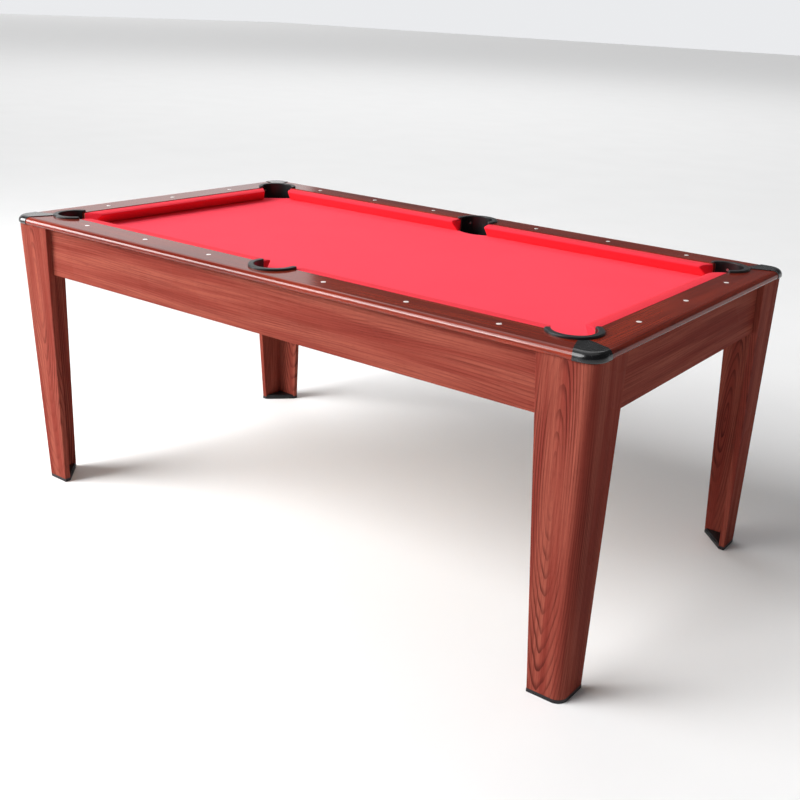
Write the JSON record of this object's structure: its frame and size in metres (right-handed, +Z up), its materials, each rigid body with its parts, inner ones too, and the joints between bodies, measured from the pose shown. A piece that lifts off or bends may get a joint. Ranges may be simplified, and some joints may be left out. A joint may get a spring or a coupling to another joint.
{
  "type": "pool table",
  "caption": "Home pool table: wooden rails with red cloth cushions, a red cloth bed, black pocket liners and corner caps, drop pockets with cups, and tapered corner legs on black feet.",
  "frame": {"origin": "on the floor, under the middle of the table", "axes": "+X along the table, +Y across it, +Z up"},
  "size_m": [1.8396, 1.0276, 0.7955],
  "materials": {
    "rail_wood": "glossy reddish wood laminate, grain along each rail",
    "leg_wood": "semi-gloss reddish wood laminate, grain upright",
    "apron_wood": "semi-gloss reddish wood laminate, grain lengthwise",
    "raw_timber": "sawn softwood, unfinished",
    "bed_board": "fibreboard, unfinished",
    "bed_cloth": "bright red woven billiard cloth",
    "cushion_cloth": "bright red woven billiard cloth",
    "cushion_rubber": "moulded gum rubber",
    "pocket_plastic": "black moulded plastic, satin",
    "cup_plastic": "black moulded plastic, matt",
    "cap_plastic": "black moulded plastic, glossy",
    "foot_plastic": "black moulded plastic, satin",
    "sight_plastic": "white plastic inlay",
    "zinc_steel": "zinc-plated steel"
  },
  "bodies": {
    "root": {"apron_back": "apron_wood", "apron_front": "apron_wood", "apron_left": "apron_wood", "apron_right": "apron_wood", "bed_beam_left": "raw_timber", "bed_beam_right": "raw_timber", "bed_board_left": "bed_board", "bed_board_middle": "bed_board", "bed_board_right": "bed_board", "bed_cloth": "bed_cloth", "corner_blocks": "raw_timber", "corner_cap_back_left": "cap_plastic", "corner_cap_back_right": "cap_plastic", "corner_cap_front_left": "cap_plastic", "corner_cap_front_right": "cap_plastic", "cup_screws": "zinc_steel", "cushion_cloth_back_left": "cushion_cloth", "cushion_cloth_back_right": "cushion_cloth", "cushion_cloth_front_left": "cushion_cloth", "cushion_cloth_front_right": "cushion_cloth", "cushion_cloth_left": "cushion_cloth", "cushion_cloth_right": "cushion_cloth", "cushion_rubber_back_left": "cushion_rubber", "cushion_rubber_back_right": "cushion_rubber", "cushion_rubber_front_left": "cushion_rubber", "cushion_rubber_front_right": "cushion_rubber", "cushion_rubber_left": "cushion_rubber", "cushion_rubber_right": "cushion_rubber", "foot_back_left": "foot_plastic", "foot_back_right": "foot_plastic", "foot_front_left": "foot_plastic", "foot_front_right": "foot_plastic", "foot_screws": "zinc_steel", "leg_back_left": "leg_wood", "leg_back_right": "leg_wood", "leg_bolts": "zinc_steel", "leg_front_left": "leg_wood", "leg_front_right": "leg_wood", "leg_washers": "zinc_steel", "liner_screws": "zinc_steel", "pocket_cup_back_left": "cup_plastic", "pocket_cup_back_middle": "cup_plastic", "pocket_cup_back_right": "cup_plastic", "pocket_cup_front_left": "cup_plastic", "pocket_cup_front_middle": "cup_plastic", "pocket_cup_front_right": "cup_plastic", "pocket_liner_back_left": "pocket_plastic", "pocket_liner_back_middle": "pocket_plastic", "pocket_liner_back_right": "pocket_plastic", "pocket_liner_front_left": "pocket_plastic", "pocket_liner_front_middle": "pocket_plastic", "pocket_liner_front_right": "pocket_plastic", "rail_back": "rail_wood", "rail_front": "rail_wood", "rail_left": "rail_wood", "rail_right": "rail_wood", "rail_screws": "zinc_steel", "rail_sights": "sight_plastic"}
  },
  "joints": []
}
